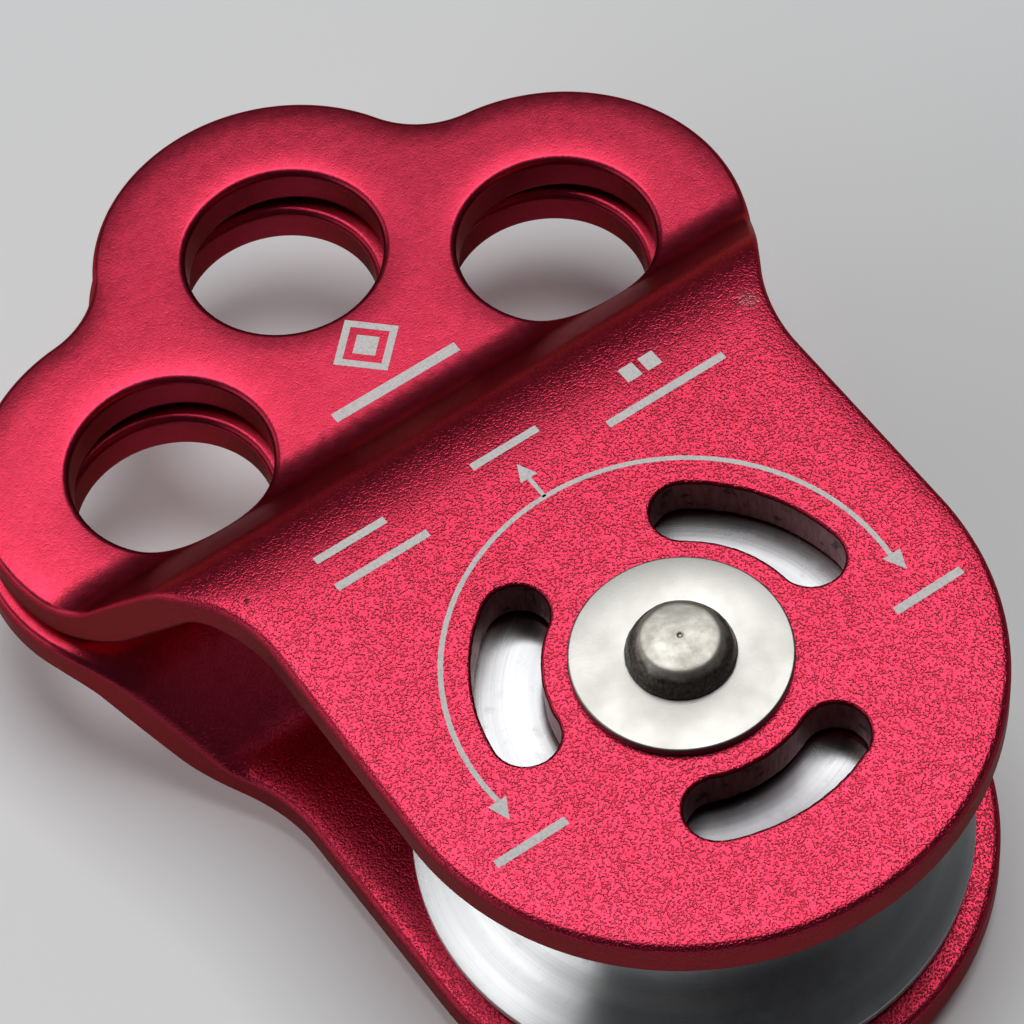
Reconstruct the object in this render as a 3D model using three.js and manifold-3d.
// Rope pulley with two swinging side cheeks and three attachment eyes.
//
// Frame: millimetres, +Z along the axle from the rear cheek to the front cheek,
// +Y from the axle towards the middle eye, +X to the right seen from the front.
// The origin is the centre of the flat end of the axle's rear head, which is
// the lowest point of the pulley when it lies on its back.

import * as THREE from 'three';
import { mergeVertices } from 'three/addons/utils/BufferGeometryUtils.js';
import Module from 'manifold-3d';

// ---------------------------------------------------------------- dimensions

// cheeks (two mirrored jogged plates)
const PLATE_T = 4.4;            // plate thickness
const Z_REAR_OUT = 3.4;         // rear cheek, outer face beside the sheave
const CHEEK_SPAN = 32.6;        // outer face to outer face beside the sheave
const EYE_SECTION_GAP = 0.5;    // between the two plates at the eyes
const END_R = 27.1;             // round end, about the axle
const EYE_R = 9.3;
const MID_EYE = [0, 64.5];
const SIDE_EYE = [21.1, 50.3];
const LOBE_R = 18.1;            // outline radius about each eye
const LOBE_VALLEY_R = 9;        // hollow fillet between two lobes
const NECK_R = 17;              // hollow fillet between lobe flank and straight side
const LOBE_FLANK_DEG = -31;     // where the side lobe's arc ends, about its eye
const EDGE = 0.8;               // broken edges
const REAR_CHEEK_SWING_DEG = 1.2; // the free cheeks lie slightly out of line

// jog between the sheave section and the eye section (outer face radii)
const JOG_Y0 = 28.2;            // outer face starts to bend
const JOG_CONVEX_R = 8;
const JOG_CONCAVE_R = 6;
const JOG_DEG = 50;

// weight-saving slots, three about the axle
const SLOT_MID_R = 14.6;
const SLOT_HALF_W = 2.9;
const SLOT_HALF_SPAN_DEG = 23.7;
const SLOT_DIRS_DEG = [30, 150, 270];

// axle (a headed rivet) and its washers
const SHANK_R = 4.0;
const AXLE_HOLE_R = 4.3;
const HEAD_R = 4.65;
const HEAD_SHOULDER_R = 3.8;
const WASHER_R = 9.45;
const WASHER_T = 0.8;
const STACK_GAP = 0.05;

// sheave
const SHEAVE_R = 24.9;
const SHEAVE_SIDE_CLEARANCE = 0.3;
const LIP_W = 1.1;
const TREAD_R = 17.2;           // bottom of the rope groove
const GROOVE_ARC_R = 8;
const SHEAVE_BORE_R = 11.1;
const SHEAVE_SHOULDER_R = 9.4;

// ball bearing
const BEARING_HALF_W = 3.5;
const RACE_OUT_R = 11.0;
const RACE_BORE_R = 4.1;
const PITCH_R = 7.5;
const BALL_R = 1.9;
const BALL_COUNT = 7;
const TRACK_R = 2.05;
const INNER_LAND_R = 6.2;
const OUTER_LAND_R = 8.8;
const SEAL_SEAT_R = 9.3;
const POCKET_R = 2.2;
const CAGE_HALF_H = 2.7;
const SPACER_R = 6.0;

// derived heights
const Z_REAR_IN = Z_REAR_OUT + PLATE_T;
const Z_FRONT_OUT = Z_REAR_OUT + CHEEK_SPAN;
const Z_FRONT_IN = Z_FRONT_OUT - PLATE_T;
const Z_MID = (Z_REAR_OUT + Z_FRONT_OUT) / 2;
const EYE_OUT = EYE_SECTION_GAP / 2 + PLATE_T;       // eye section, outer face from mid-plane
const SHEAVE_OUT = CHEEK_SPAN / 2;                   // sheave section, outer face from mid-plane

// ---------------------------------------------------------------- helpers

const rad = (d) => (d * Math.PI) / 180;

const wasm = await Module();
wasm.setup();

// closed geometry with position only and shared vertices merged
function weld(geometry) {
  const g = geometry.clone();
  g.deleteAttribute('normal');
  g.deleteAttribute('uv');
  return mergeVertices(g, 1e-4);
}

function toManifold(geometry) {
  const g = weld(geometry);
  return new wasm.Manifold(new wasm.Mesh({
    numProp: 3,
    vertProperties: new Float32Array(g.attributes.position.array),
    triVerts: new Uint32Array(g.index.array),
  }));
}

function fromManifold(solid) {
  const m = solid.getMesh();
  const g = new THREE.BufferGeometry();
  const n = m.vertProperties.length / m.numProp;
  const pos = new Float32Array(n * 3);
  for (let i = 0; i < n; i++) {
    for (let k = 0; k < 3; k++) pos[3 * i + k] = m.vertProperties[i * m.numProp + k];
  }
  g.setAttribute('position', new THREE.BufferAttribute(pos, 3));
  g.setIndex(new THREE.BufferAttribute(new Uint32Array(m.triVerts), 1));
  g.computeVertexNormals();
  return g;
}

// lathe about Z from [radius, z] points in counter-clockwise order
function latheZ(profile, segments) {
  const pts = profile.map(([r, z]) => new THREE.Vector2(r, z));
  const g = new THREE.LatheGeometry(pts, segments);
  g.rotateX(Math.PI / 2);
  return g;
}

// closed ring profile: repeats the first point at the end
const ring = (profile) => [...profile, profile[0]];

function mesh(name, geometry, color, roughness, metalness) {
  const m = new THREE.Mesh(geometry, new THREE.MeshStandardMaterial({ color, roughness, metalness }));
  m.name = name;
  return m;
}

// points along a circular arc, from angle a0 to a1 in degrees
function arcPoints(cx, cy, r, a0, a1, n, skipFirst = false) {
  const out = [];
  for (let i = skipFirst ? 1 : 0; i <= n; i++) {
    const a = rad(a0 + ((a1 - a0) * i) / n);
    out.push([cx + r * Math.cos(a), cy + r * Math.sin(a)]);
  }
  return out;
}

const deg = (y, x) => (Math.atan2(y, x) * 180) / Math.PI;

// ---------------------------------------------------------------- cheek plate

// right half of the cheek's outline, from the bottom (0, -END_R) to the top
function halfOutline() {
  const pts = [];
  // round end up to the straight side
  pts.push(...arcPoints(0, 0, END_R, -90, 0, 13));

  // side lobe flank: a straight line tangent to the lobe
  const a = rad(LOBE_FLANK_DEG);
  const px = SIDE_EYE[0] + LOBE_R * Math.cos(a);
  const py = SIDE_EYE[1] + LOBE_R * Math.sin(a);
  // inward and downward heading of that line
  const dx = Math.sin(a);
  const dy = -Math.cos(a);
  // hollow fillet of radius NECK_R tangent to the side x = END_R and to the line
  const cx = END_R + NECK_R;
  // distance from the fillet centre to the line equals NECK_R
  const nx = -dy;                      // outward normal of the line
  const ny = dx;
  const cy = py + (NECK_R - (cx - px) * nx) / ny;
  const tx = cx - NECK_R * nx;
  const ty = cy - NECK_R * ny;
  pts.push(...arcPoints(cx, cy, NECK_R, 180, deg(ty - cy, tx - cx) , 6));

  // side lobe up to the valley fillet
  const dist = Math.hypot(MID_EYE[0] - SIDE_EYE[0], MID_EYE[1] - SIDE_EYE[1]);
  const ux = (MID_EYE[0] - SIDE_EYE[0]) / dist;
  const uy = (MID_EYE[1] - SIDE_EYE[1]) / dist;
  const h = Math.sqrt((LOBE_R + LOBE_VALLEY_R) ** 2 - (dist / 2) ** 2);
  const vx = SIDE_EYE[0] + (ux * dist) / 2 + uy * h;
  const vy = SIDE_EYE[1] + (uy * dist) / 2 - ux * h;
  const a1 = deg(vy - SIDE_EYE[1], vx - SIDE_EYE[0]);
  pts.push(...arcPoints(SIDE_EYE[0], SIDE_EYE[1], LOBE_R, LOBE_FLANK_DEG, a1, 12));
  // valley
  const v0 = deg(SIDE_EYE[1] - vy, SIDE_EYE[0] - vx);
  const v1 = deg(MID_EYE[1] - vy, MID_EYE[0] - vx);
  let span = v1 - v0;
  if (span > 0) span -= 360;
  pts.push(...arcPoints(vx, vy, LOBE_VALLEY_R, v0, v0 + span, 5, true));
  // middle lobe
  const m0 = deg(vy - MID_EYE[1], vx - MID_EYE[0]);
  pts.push(...arcPoints(MID_EYE[0], MID_EYE[1], LOBE_R, m0, 90, 7, true));
  return pts;
}

function outlineShape() {
  const right = halfOutline();
  const left = right.slice(1, -1).reverse().map(([x, y]) => [-x, y]);
  return new THREE.Shape([...right, ...left].map(([x, y]) => new THREE.Vector2(x, y)));
}

function circlePath(cx, cy, r, n) {
  return new THREE.Path(arcPoints(cx, cy, r, 0, 360 - 360 / n, n - 1)
    .map(([x, y]) => new THREE.Vector2(x, y)).reverse());
}

function slotPath(dirDeg) {
  const a0 = dirDeg - SLOT_HALF_SPAN_DEG;
  const a1 = dirDeg + SLOT_HALF_SPAN_DEG;
  const end = (a) => [SLOT_MID_R * Math.cos(rad(a)), SLOT_MID_R * Math.sin(rad(a))];
  const e0 = end(a0);
  const e1 = end(a1);
  const pts = [
    ...arcPoints(0, 0, SLOT_MID_R + SLOT_HALF_W, a0, a1, 5),
    ...arcPoints(e1[0], e1[1], SLOT_HALF_W, a1, a1 + 180, 6).slice(1, -1),
    ...arcPoints(0, 0, SLOT_MID_R - SLOT_HALF_W, a1, a0, 5),
    ...arcPoints(e0[0], e0[1], SLOT_HALF_W, a0 + 180, a0 + 360, 6).slice(1, -1),
  ];
  return new THREE.Path(pts.map(([x, y]) => new THREE.Vector2(x, y)).reverse());
}

// height of a cheek's outer or inner face above the mid-plane, as a function of y.
// The outer face is convex then concave; the inner face is its offset by PLATE_T.
const DROP = SHEAVE_OUT - EYE_OUT;
const jog = (() => {
  const s = Math.sin(rad(JOG_DEG));
  const c = Math.cos(rad(JOG_DEG));
  const slope = (DROP - (JOG_CONVEX_R + JOG_CONCAVE_R) * (1 - c)) / s;  // straight length
  const yEnd = JOG_Y0 + (JOG_CONVEX_R + JOG_CONCAVE_R) * s + slope * c;
  return { s, c, slope, yEnd };
})();

function jogBreaks(offset) {
  // list of [y, height] on the face lying `offset` below the outer face
  const r1 = JOG_CONVEX_R - offset;
  const r2 = JOG_CONCAVE_R + offset;
  const pts = [];
  const n = 3;
  for (let i = 0; i <= n; i++) {
    const a = (rad(JOG_DEG) * i) / n;
    pts.push([JOG_Y0 + r1 * Math.sin(a), SHEAVE_OUT - JOG_CONVEX_R + r1 * Math.cos(a)]);
  }
  for (let i = n; i >= 0; i--) {
    const a = (rad(JOG_DEG) * i) / n;
    pts.push([jog.yEnd - r2 * Math.sin(a), EYE_OUT + JOG_CONCAVE_R - r2 * Math.cos(a)]);
  }
  return pts;
}
const outerBreaks = jogBreaks(0);
const innerBreaks = jogBreaks(PLATE_T);

function heightAt(breaks, y) {
  if (y <= breaks[0][0]) return breaks[0][1];
  for (let i = 1; i < breaks.length; i++) {
    if (y <= breaks[i][0]) {
      const [y0, z0] = breaks[i - 1];
      const [y1, z1] = breaks[i];
      return y1 === y0 ? z1 : z0 + ((z1 - z0) * (y - y0)) / (y1 - y0);
    }
  }
  return breaks[breaks.length - 1][1];
}

// cut every triangle that crosses one of the planes y = level
function splitAtY(geometry, levels) {
  const g = weld(geometry);
  const verts = [];
  const p = g.attributes.position;
  for (let i = 0; i < p.count; i++) verts.push([p.getX(i), p.getY(i), p.getZ(i)]);
  let tris = [];
  for (let i = 0; i < g.index.count; i += 3) {
    tris.push([g.index.getX(i), g.index.getX(i + 1), g.index.getX(i + 2)]);
  }
  for (const level of levels) {
    const cuts = new Map();
    const side = verts.map((v) => (Math.abs(v[1] - level) < 1e-4 ? 0 : Math.sign(v[1] - level)));
    const cut = (a, b) => {
      const key = a < b ? `${a}_${b}` : `${b}_${a}`;
      if (!cuts.has(key)) {
        const [i, j] = a < b ? [a, b] : [b, a];
        const t = (level - verts[i][1]) / (verts[j][1] - verts[i][1]);
        verts.push([
          verts[i][0] + t * (verts[j][0] - verts[i][0]),
          level,
          verts[i][2] + t * (verts[j][2] - verts[i][2]),
        ]);
        cuts.set(key, verts.length - 1);
      }
      return cuts.get(key);
    };
    const next = [];
    for (const t of tris) {
      const s = t.map((i) => side[i]);
      if (!(s.includes(1) && s.includes(-1))) { next.push(t); continue; }
      if (s.includes(0)) {
        const k = s.indexOf(0);
        const [a, b, c] = [t[k], t[(k + 1) % 3], t[(k + 2) % 3]];
        const m = cut(b, c);
        next.push([a, b, m], [a, m, c]);
      } else {
        // the corner that is alone on its side
        const k = s[0] === s[1] ? 2 : (s[0] === s[2] ? 1 : 0);
        const [a, b, c] = [t[k], t[(k + 1) % 3], t[(k + 2) % 3]];
        const m = cut(a, b);
        const n = cut(c, a);
        next.push([a, m, n], [m, b, c], [m, c, n]);
      }
    }
    tris = next;
  }
  const out = new THREE.BufferGeometry();
  out.setAttribute('position', new THREE.BufferAttribute(new Float32Array(verts.flat()), 3));
  out.setIndex(tris.flat());
  return out;
}

// a cheek above the mid-plane: flat plate with broken edges, then jogged
function cheekGeometry() {
  const shape = outlineShape();
  shape.holes.push(circlePath(MID_EYE[0], MID_EYE[1], EYE_R, 32));
  shape.holes.push(circlePath(SIDE_EYE[0], SIDE_EYE[1], EYE_R, 32));
  shape.holes.push(circlePath(-SIDE_EYE[0], SIDE_EYE[1], EYE_R, 32));
  shape.holes.push(circlePath(0, 0, AXLE_HOLE_R, 24));
  for (const d of SLOT_DIRS_DEG) shape.holes.push(slotPath(d));
  const flat = new THREE.ExtrudeGeometry(shape, {
    depth: PLATE_T - 2 * EDGE,
    bevelEnabled: true,
    bevelSegments: 1,
    bevelThickness: EDGE,
    bevelSize: EDGE,
    bevelOffset: -EDGE,
    curveSegments: 1,
    steps: 1,
  });
  flat.translate(0, 0, EDGE);
  const levels = [...outerBreaks, ...innerBreaks].map(([y]) => y).sort((a, b) => a - b)
    .filter((y, i, all) => i === 0 || y - all[i - 1] > 0.15);
  const cut = splitAtY(flat, levels);
  const p = cut.attributes.position;
  for (let i = 0; i < p.count; i++) {
    const y = p.getY(i);
    const low = heightAt(innerBreaks, y);
    const high = heightAt(outerBreaks, y);
    p.setZ(i, low + ((high - low) * p.getZ(i)) / PLATE_T);
  }
  // merge the triangles that lie in one plane again
  return fromManifold(toManifold(cut).simplify(0.004));
}

// mirror a geometry in the mid-plane and keep its faces pointing out
function mirrorZ(geometry) {
  const g = geometry.clone();
  g.scale(1, 1, -1);
  const idx = g.index.array.slice();
  for (let i = 0; i < idx.length; i += 3) [idx[i + 1], idx[i + 2]] = [idx[i + 2], idx[i + 1]];
  g.setIndex(new THREE.BufferAttribute(idx, 1));
  g.computeVertexNormals();
  return g;
}

// ---------------------------------------------------------------- the parts

const RED = 0xc4314c;
const BRIGHT = 0xd9d9d6;

const cheek = cheekGeometry();

const frontPlate = mesh('front_side_plate', cheek, RED, 0.38, 0.75);
frontPlate.position.z = Z_MID;

const rearPlate = mesh('rear_side_plate', mirrorZ(cheek), RED, 0.38, 0.75);
rearPlate.position.z = Z_MID;
rearPlate.rotation.z = rad(REAR_CHEEK_SWING_DEG);

// washers under the two axle heads
const washerGeometry = latheZ(ring([
  [AXLE_HOLE_R, 0], [WASHER_R, 0], [WASHER_R, WASHER_T - 0.15], [WASHER_R - 0.15, WASHER_T], [AXLE_HOLE_R, WASHER_T],
]), 44);
const frontWasher = mesh('front_washer', washerGeometry, BRIGHT, 0.35, 1.0);
frontWasher.position.z = Z_FRONT_OUT + STACK_GAP;
const rearWasher = mesh('rear_washer', washerGeometry, BRIGHT, 0.35, 1.0);
rearWasher.rotation.x = Math.PI;
rearWasher.position.z = Z_REAR_OUT - STACK_GAP;

// axle: a rivet with two domed heads; the rear dome ends in a small flat
const zHeadFront = Z_FRONT_OUT + WASHER_T + 2 * STACK_GAP;
const zHeadRear = Z_REAR_OUT - WASHER_T - 2 * STACK_GAP;
const axleGeometry = latheZ([
  [0, 0], [1.7, 0], [2.9, 0.45], [HEAD_SHOULDER_R, 0.95], [4.35, 1.55],
  [HEAD_R, zHeadRear - 0.2], [HEAD_R, zHeadRear], [SHANK_R, zHeadRear],
  [SHANK_R, zHeadFront], [HEAD_R, zHeadFront], [HEAD_R, zHeadFront + 0.2],
  [4.35, Z_FRONT_OUT + 2.05], [HEAD_SHOULDER_R, Z_FRONT_OUT + 2.65], [2.9, Z_FRONT_OUT + 3.05],
  [1.7, Z_FRONT_OUT + 3.37], [0.4, Z_FRONT_OUT + 3.5], [0, Z_FRONT_OUT + 3.35],
], 32);
const axle = mesh('axle', axleGeometry, 0x8c8b88, 0.4, 1.0);

// spacer sleeves between the bearing's inner race and the cheeks
const bearingFrontZ = Z_MID + BEARING_HALF_W;
const bearingRearZ = Z_MID - BEARING_HALF_W;
const spacerGeometry = (z0, z1) => latheZ(ring([
  [RACE_BORE_R, z0], [SPACER_R - 0.3, z0], [SPACER_R, z0 + 0.3], [SPACER_R, z1 - 0.3], [SPACER_R - 0.3, z1], [RACE_BORE_R, z1],
]), 28);
const frontSpacer = mesh('front_spacer', spacerGeometry(bearingFrontZ + STACK_GAP, Z_FRONT_IN - 0.1), 0xb9bbbd, 0.35, 1.0);
const rearSpacer = mesh('rear_spacer', spacerGeometry(Z_REAR_IN + 0.1, bearingRearZ - STACK_GAP), 0xb9bbbd, 0.35, 1.0);

// sheave: flat faces, rounded lips, a groove with a round bottom and straight flanks
const halfWidth = (Z_FRONT_IN - Z_REAR_IN) / 2 - SHEAVE_SIDE_CLEARANCE;
const groove = (() => {
  const cr = TREAD_R + GROOVE_ARC_R;                  // arc centre radius
  const lip = [halfWidth - LIP_W, SHEAVE_R - 0.15];   // [half width, radius]
  const d = Math.hypot(lip[0], cr - lip[1]);
  const a = Math.atan2(cr - lip[1], lip[0]) + Math.acos(GROOVE_ARC_R / d); // below horizontal
  const pts = [];
  const n = 6;
  for (let i = 0; i <= n; i++) {
    const t = -Math.PI / 2 + ((Math.PI / 2 - a) * (i - n / 2)) / (n / 2);
    pts.push([cr + GROOVE_ARC_R * Math.sin(t), GROOVE_ARC_R * Math.cos(t)]);
  }
  return { lip, pts };
})();
const sheaveGeometry = latheZ(ring([
  [SHEAVE_SHOULDER_R, -halfWidth], [SHEAVE_R - 0.4, -halfWidth], [SHEAVE_R, -halfWidth + 0.4],
  [SHEAVE_R, -groove.lip[0] - 0.25], [groove.lip[1], -groove.lip[0]],
  ...groove.pts,
  [groove.lip[1], groove.lip[0]], [SHEAVE_R, groove.lip[0] + 0.25],
  [SHEAVE_R, halfWidth - 0.4], [SHEAVE_R - 0.4, halfWidth],
  [SHEAVE_BORE_R + 0.4, halfWidth], [SHEAVE_BORE_R, halfWidth - 0.4],
  [SHEAVE_BORE_R, -BEARING_HALF_W - STACK_GAP], [SHEAVE_SHOULDER_R, -BEARING_HALF_W - STACK_GAP],
]), 56);
const sheave = mesh('sheave', sheaveGeometry, 0xcfd2d4, 0.28, 1.0);
sheave.position.z = Z_MID;

// ball bearing: two races with round tracks, two seals, a cage and its balls
const trackArc = (sign, land) => {
  // points of the track's arc on a race; sign +1 for the outer race, -1 for the inner
  const half = Math.acos(Math.abs(land - PITCH_R) / TRACK_R);
  const pts = [];
  const n = 4;
  for (let i = 0; i <= n; i++) {
    const t = -half + (2 * half * i) / n;
    pts.push([PITCH_R + sign * TRACK_R * Math.cos(t), TRACK_R * Math.sin(t)]);
  }
  return pts;
};
const innerRace = mesh('bearing_inner_race', latheZ(ring([
  [RACE_BORE_R, -BEARING_HALF_W], [INNER_LAND_R - 0.2, -BEARING_HALF_W], [INNER_LAND_R, -BEARING_HALF_W + 0.2],
  ...trackArc(-1, INNER_LAND_R),
  [INNER_LAND_R, BEARING_HALF_W - 0.2], [INNER_LAND_R - 0.2, BEARING_HALF_W], [RACE_BORE_R, BEARING_HALF_W],
]), 32), 0xb4b6b9, 0.2, 1.0);
innerRace.position.z = Z_MID;

const outerRace = mesh('bearing_outer_race', latheZ(ring([
  [SEAL_SEAT_R, -BEARING_HALF_W], [RACE_OUT_R, -BEARING_HALF_W], [RACE_OUT_R, BEARING_HALF_W], [SEAL_SEAT_R, BEARING_HALF_W],
  [SEAL_SEAT_R, CAGE_HALF_H + 0.1], [OUTER_LAND_R, CAGE_HALF_H + 0.1],
  ...trackArc(1, OUTER_LAND_R).reverse(),
  [OUTER_LAND_R, -CAGE_HALF_H - 0.1], [SEAL_SEAT_R, -CAGE_HALF_H - 0.1],
]), 40), 0xb4b6b9, 0.2, 1.0);
outerRace.position.z = Z_MID;

const sealGeometry = latheZ(ring([
  [INNER_LAND_R + 0.2, 0], [SEAL_SEAT_R - 0.1, 0], [SEAL_SEAT_R - 0.1, 0.4], [INNER_LAND_R + 0.2, 0.4],
]), 36);
const frontSeal = mesh('bearing_front_seal', sealGeometry, 0x1d1d1f, 0.7, 0.0);
frontSeal.position.z = Z_MID + CAGE_HALF_H + 0.15;
const rearSeal = mesh('bearing_rear_seal', sealGeometry, 0x1d1d1f, 0.7, 0.0);
rearSeal.position.z = Z_MID - CAGE_HALF_H - 0.55;

// cage: a ring with a round pocket for each ball
let cageSolid = toManifold(latheZ(ring([
  [PITCH_R - 0.5, -CAGE_HALF_H], [PITCH_R + 0.5, -CAGE_HALF_H], [PITCH_R + 0.5, CAGE_HALF_H], [PITCH_R - 0.5, CAGE_HALF_H],
]), 28));
const ballCentres = [];
for (let i = 0; i < BALL_COUNT; i++) {
  const a = (2 * Math.PI * i) / BALL_COUNT;
  ballCentres.push([PITCH_R * Math.cos(a), PITCH_R * Math.sin(a)]);
  const pocket = new THREE.CylinderGeometry(POCKET_R, POCKET_R, 3, 14);
  pocket.rotateZ(Math.PI / 2);          // along X
  pocket.translate(PITCH_R, 0, 0);
  pocket.rotateZ(a);
  cageSolid = cageSolid.subtract(toManifold(pocket));
}
const cage = mesh('bearing_cage', fromManifold(cageSolid), 0xa8813f, 0.4, 0.9);
cage.position.z = Z_MID;

const balls = ballCentres.map(([x, y], i) => {
  const g = new THREE.SphereGeometry(BALL_R, 12, 8);
  g.rotateX(Math.PI / 2);
  const b = mesh(`ball_${String(i + 1).padStart(2, '0')}`, g, 0xc9ccd0, 0.12, 1.0);
  b.position.set(x, y, Z_MID);
  return b;
});

// ---------------------------------------------------------------- assembly

const rearCheek = new THREE.Group();
rearCheek.add(rearPlate, rearWasher, axle, frontWasher, frontSpacer, rearSpacer, innerRace);

const frontCheek = new THREE.Group();
frontCheek.add(frontPlate);

const wheel = new THREE.Group();
wheel.add(sheave, outerRace, frontSeal, rearSeal);

const ballSet = new THREE.Group();
ballSet.add(cage, ...balls);

const pulley = new THREE.Group();
pulley.add(rearCheek, frontCheek, wheel, ballSet);

export default pulley;
